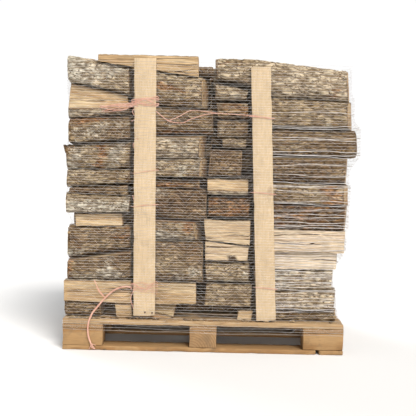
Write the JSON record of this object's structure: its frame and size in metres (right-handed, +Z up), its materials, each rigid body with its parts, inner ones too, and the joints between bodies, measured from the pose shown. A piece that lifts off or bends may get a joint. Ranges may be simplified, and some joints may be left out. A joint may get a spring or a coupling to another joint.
{
  "type": "pallet of stacked firewood logs",
  "caption": "Split firewood logs stacked in columns on a block pallet, braced by upright battens and wrapped in thin stretched net.",
  "frame": {"origin": "middle of the pallet's footprint, on the ground", "axes": "+X along the logs, to the right seen from the front; +Y towards the back; +Z up"},
  "size_m": [1.2479, 0.811, 1.262],
  "materials": {
    "bark": "rough fissured bark with grey-green lichen",
    "split_wood": "raw split and sawn wood, weathered tan to fresh pale",
    "batten_wood": "sawn softwood, matte, fine grain",
    "pallet_wood": "sawn pallet wood, honey brown, dusty",
    "net_cord": "matte twisted plastic net",
    "net_threads": "thin pale stretched net threads"
  },
  "bodies": {
    "root": {"batten_front_left": "batten_wood", "batten_front_right": "batten_wood", "batten_rear_left": "batten_wood", "batten_rear_right": "batten_wood", "left_log_01": "bark", "left_log_02": "bark", "left_log_03": "bark", "left_log_04": "bark", "left_log_05": "bark", "left_log_06": "bark", "left_log_07": "bark", "left_log_08": "split_wood", "left_log_09": "bark", "left_log_10": "bark", "left_log_11": "split_wood", "left_log_12": "bark", "logs_behind_and_third_column": "bark", "middle_log_01": "bark", "middle_log_02": "bark", "middle_log_03": "bark", "middle_log_04": "bark", "middle_log_05": "bark", "middle_log_06": "bark", "middle_log_07": "bark", "middle_log_08": "bark", "middle_log_09": "split_wood", "middle_log_10": "split_wood", "net_tail": "net_cord", "pallet_block_centre_left": "pallet_wood", "pallet_block_centre_middle": "pallet_wood", "pallet_block_centre_right": "pallet_wood", "pallet_block_front_left": "pallet_wood", "pallet_block_front_middle": "pallet_wood", "pallet_block_front_right": "pallet_wood", "pallet_block_rear_left": "pallet_wood", "pallet_block_rear_middle": "pallet_wood", "pallet_block_rear_right": "pallet_wood", "pallet_bottom_board_centre": "pallet_wood", "pallet_bottom_board_front": "pallet_wood", "pallet_bottom_board_rear": "pallet_wood", "pallet_deck_board_1": "pallet_wood", "pallet_deck_board_2": "pallet_wood", "pallet_deck_board_3": "pallet_wood", "pallet_deck_board_4": "pallet_wood", "pallet_deck_board_5": "pallet_wood", "pallet_stringer_left": "pallet_wood", "pallet_stringer_middle": "pallet_wood", "pallet_stringer_right": "pallet_wood", "right_log_01": "bark", "right_log_02": "bark", "right_log_03": "bark", "right_log_04": "bark", "right_log_05": "bark", "right_log_06": "bark", "right_log_07": "split_wood", "right_log_08": "split_wood", "right_log_09": "bark", "right_log_10": "bark", "right_log_11": "bark", "top_split_log": "split_wood"}
  },
  "joints": []
}
